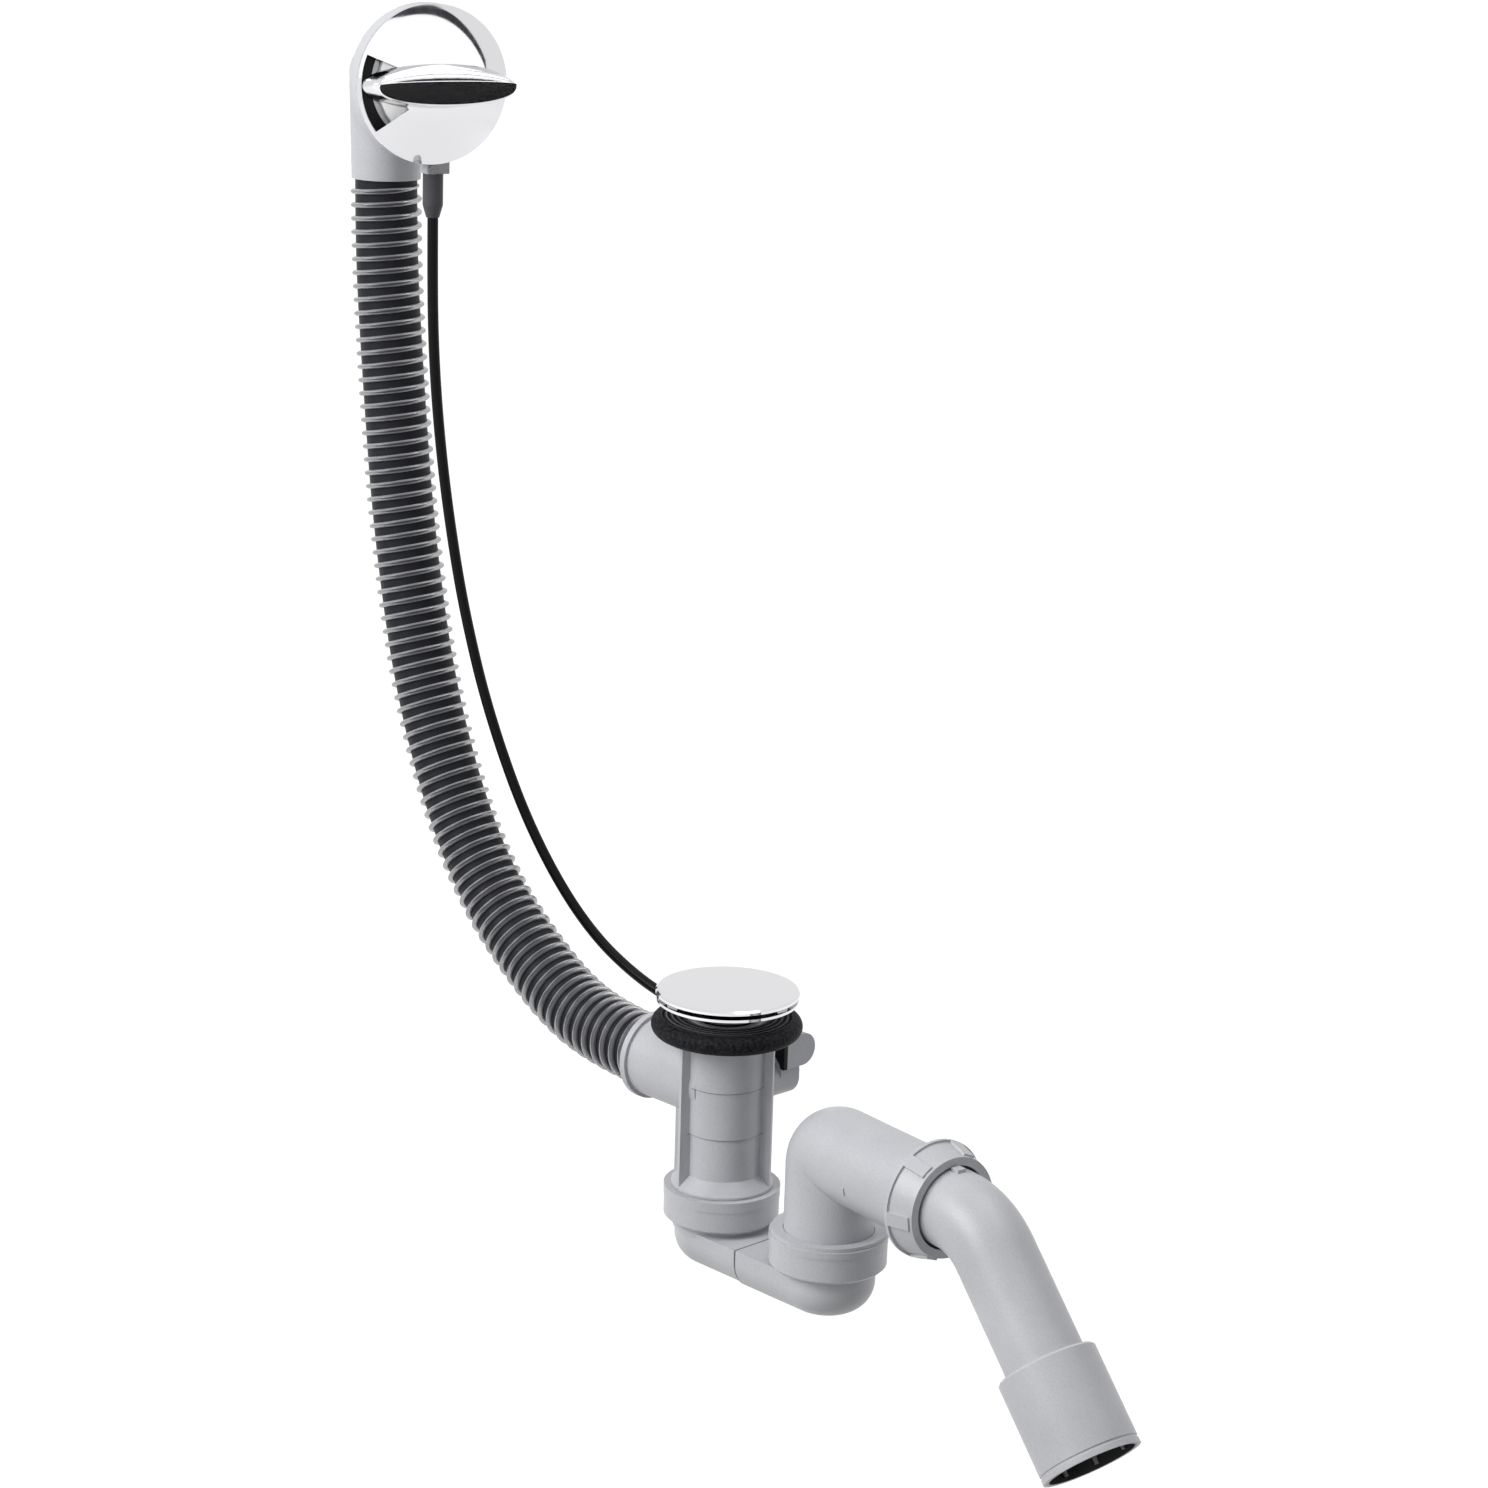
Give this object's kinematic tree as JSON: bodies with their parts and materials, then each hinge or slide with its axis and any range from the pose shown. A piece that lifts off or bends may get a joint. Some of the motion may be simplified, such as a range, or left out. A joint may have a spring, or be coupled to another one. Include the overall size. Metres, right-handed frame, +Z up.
{
  "type": "bath waste and overflow",
  "caption": "Bath waste with a lifting plug and low swivel trap, joined by a corrugated hose and a pull cable to an overflow head whose wing handle opens the plug.",
  "frame": {"origin": "on the waste axis, at the top of the gasket, where it meets the bath underside", "axes": "+Z up out of the bath floor, +X towards the trap outlet, +Y towards the side housing of the cable"},
  "size_m": [0.5999, 0.1214, 0.6528],
  "materials": {
    "grey_plastic": "satin light grey moulding",
    "dark_plastic": "satin dark grey moulding",
    "white_plastic": "satin white moulding",
    "rubber": "matt black",
    "chrome": "polished plate",
    "brass": "turned",
    "steel": "plain",
    "hose_plastic": "dark tube with a pale translucent bead",
    "cable_sheath": "smooth black"
  },
  "bodies": {
    "waste": {"waste_body": "grey_plastic", "waste_gasket": "rubber", "waste_flange": "chrome", "shaft_seal": "rubber", "housing_plate": "rubber", "cable_housing": "grey_plastic", "housing_screw": "steel", "overflow_hose": "hose_plastic", "branch_seal": "rubber", "overflow_body": "grey_plastic", "overflow_gasket": "rubber", "cable_boot": "dark_plastic", "clamp_screw": "steel", "bowden_cable": "cable_sheath", "cable_wire": "steel"},
    "knob": {"rosette": "chrome", "wing_handle": "chrome", "spindle": "brass", "cable_wheel": "white_plastic", "wheel_nipple": "steel"},
    "plug": {"plug_cap": "chrome", "plug_seal": "rubber", "plug_stem": "brass", "stem_nut": "brass"},
    "crank": {"crank_shaft": "brass", "cable_lever": "dark_plastic", "lever_nipple": "steel"},
    "trap": {"trap_inlet": "grey_plastic", "trap_outlet": "grey_plastic", "inlet_ring": "grey_plastic", "outlet_ring": "grey_plastic", "inlet_lip_seal": "rubber", "outlet_lip_seal": "rubber"},
    "riser": {"riser_elbow": "grey_plastic", "union_nut": "grey_plastic", "wedge_seal": "rubber", "slip_washer": "grey_plastic"},
    "outlet": {"outlet_bend": "grey_plastic", "outlet_adapter": "grey_plastic", "adapter_seal": "rubber"}
  },
  "joints": [
    {"name": "handle_turn", "type": "hinge", "parent": "waste", "child": "knob", "pos_m": [-0.22007, -0.02004, 0.4539], "axis": [0.9542, -0.299, 0], "range_deg": [0, 90]},
    {"name": "crank_turn", "type": "hinge", "parent": "waste", "child": "crank", "pos_m": [-0.0095, 0, -0.042], "axis": [0, -1, 0], "range_deg": [-0.5, 60.5]},
    {"name": "plug_lift", "type": "slide", "parent": "waste", "child": "plug", "axis": [0, 0, 1], "range_m": [-0.0001, 0.0101]},
    {"name": "trap_swivel", "type": "hinge", "parent": "waste", "child": "trap", "pos_m": [0, 0, -0.0916], "axis": [0, 0, 1], "range_deg": [-45, 45]},
    {"name": "riser_swivel", "type": "hinge", "parent": "trap", "child": "riser", "pos_m": [0.0785, 0, -0.0916], "axis": [0, 0, 1], "range_deg": [-80, 90]},
    {"name": "outlet_swivel", "type": "hinge", "parent": "riser", "child": "outlet", "pos_m": [0.0785, 0, -0.0493], "axis": [0.9934, -0.1149, 0], "range_deg": [-90, 90]}
  ],
  "couplings": [
    {"joint": "crank_turn", "follows": "handle_turn", "ratio": 0.66667},
    {"joint": "plug_lift", "follows": "handle_turn", "m_per_rad": 0.0063662}
  ]
}
